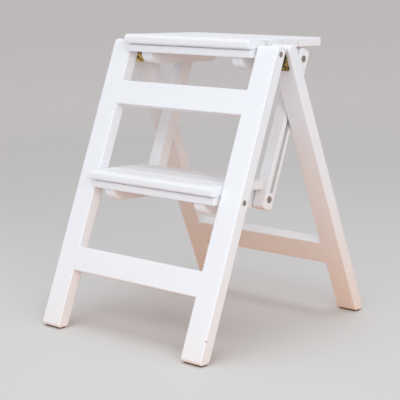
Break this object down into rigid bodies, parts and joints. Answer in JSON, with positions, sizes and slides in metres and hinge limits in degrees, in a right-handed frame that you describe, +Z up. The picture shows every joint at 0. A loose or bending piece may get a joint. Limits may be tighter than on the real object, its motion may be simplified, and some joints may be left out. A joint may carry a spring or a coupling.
{
  "type": "folding step stool",
  "caption": "White wooden folding step stool that doubles as a seat: slatted treads between leaning frames joined by brass hinges, with side bars that fold it flat.",
  "frame": {"origin": "middle of the footprint, on the floor", "axes": "+Z up, the front that one steps onto faces -Y, +X is to the right seen from the front"},
  "size_m": [0.352, 0.4052, 0.4665],
  "materials": {
    "white_paint": "white semi-gloss paint on wood",
    "brass": "bright brass",
    "steel": "zinc plated",
    "washer": "natural nylon",
    "felt": "pressed felt"
  },
  "bodies": {
    "front_frame": {"front_leg_left": "white_paint", "front_leg_right": "white_paint", "front_upper_rail": "white_paint", "front_lower_rail": "white_paint", "hinge_front_leaf_left": "brass", "hinge_front_leaf_right": "brass", "hinge_pin_left": "brass", "hinge_pin_right": "brass", "foot_pad_front_left": "felt", "foot_pad_front_right": "felt"},
    "rear_frame": {"rear_leg_left": "white_paint", "rear_leg_right": "white_paint", "rear_rail": "white_paint", "hinge_rear_leaf_left": "brass", "hinge_rear_leaf_right": "brass", "foot_pad_rear_left": "felt", "foot_pad_rear_right": "felt"},
    "upper_tread": {"upper_nosing": "white_paint", "upper_board_2": "white_paint", "upper_board_3": "white_paint", "upper_board_4": "white_paint", "upper_apron": "white_paint", "upper_bearer_left": "white_paint", "upper_bearer_right": "white_paint", "upper_link_bolt_left": "steel", "upper_link_bolt_right": "steel", "upper_link_washer_left": "washer", "upper_link_washer_right": "washer", "upper_pivot_screw_left": "steel", "upper_pivot_screw_right": "steel"},
    "lower_tread": {"lower_nosing": "white_paint", "lower_board_2": "white_paint", "lower_board_3": "white_paint", "lower_apron": "white_paint", "lower_bearer_left": "white_paint", "lower_bearer_right": "white_paint", "lower_link_bolt_left": "steel", "lower_link_bolt_right": "steel", "lower_link_washer_left": "washer", "lower_link_washer_right": "washer", "lower_pivot_screw_left": "steel", "lower_pivot_screw_right": "steel"},
    "left_link": {"link_left": "white_paint"},
    "left_slot_pin": {"slot_pin_left": "steel"},
    "right_link": {"link_right": "white_paint"},
    "right_slot_pin": {"slot_pin_right": "steel"}
  },
  "joints": [
    {"name": "upper_tread_fold", "type": "hinge", "parent": "front_frame", "child": "upper_tread", "pos_m": [0, -0.01249, 0.44383], "axis": [1, 0, 0], "range_deg": [0, 60]},
    {"name": "lower_tread_fold", "type": "hinge", "parent": "front_frame", "child": "lower_tread", "pos_m": [0, -0.10033, 0.23018], "axis": [1, 0, 0], "range_deg": [0, 60]},
    {"name": "rear_frame_hinge", "type": "hinge", "parent": "front_frame", "child": "rear_frame", "pos_m": [0, 0.0043, 0.44666], "axis": [1, 0, 0], "range_deg": [-42.36, 0]},
    {"name": "left_link_swing", "type": "hinge", "parent": "upper_tread", "child": "left_link", "pos_m": [0, 0.09639, 0.42726], "axis": [1, 0, 0], "range_deg": [-60, 0]},
    {"name": "left_slot_pin_slide", "type": "slide", "parent": "left_link", "child": "left_slot_pin", "axis": [0, -0.3803, -0.9249], "range_m": [0, 0.12268]},
    {"name": "right_link_swing", "type": "hinge", "parent": "upper_tread", "child": "right_link", "pos_m": [0, 0.09639, 0.42726], "axis": [1, 0, 0], "range_deg": [-60, 0]},
    {"name": "right_slot_pin_slide", "type": "slide", "parent": "right_link", "child": "right_slot_pin", "axis": [0, -0.3803, -0.9249], "range_m": [0, 0.12268]}
  ],
  "couplings": [
    {"joint": "lower_tread_fold", "follows": "upper_tread_fold", "ratio": 1},
    {"joint": "rear_frame_hinge", "follows": "upper_tread_fold", "ratio": -0.7052},
    {"joint": "left_link_swing", "follows": "upper_tread_fold", "ratio": -1},
    {"joint": "left_slot_pin_slide", "follows": "upper_tread_fold", "m_per_rad": 0.11706},
    {"joint": "right_link_swing", "follows": "upper_tread_fold", "ratio": -1},
    {"joint": "right_slot_pin_slide", "follows": "upper_tread_fold", "m_per_rad": 0.11706}
  ]
}
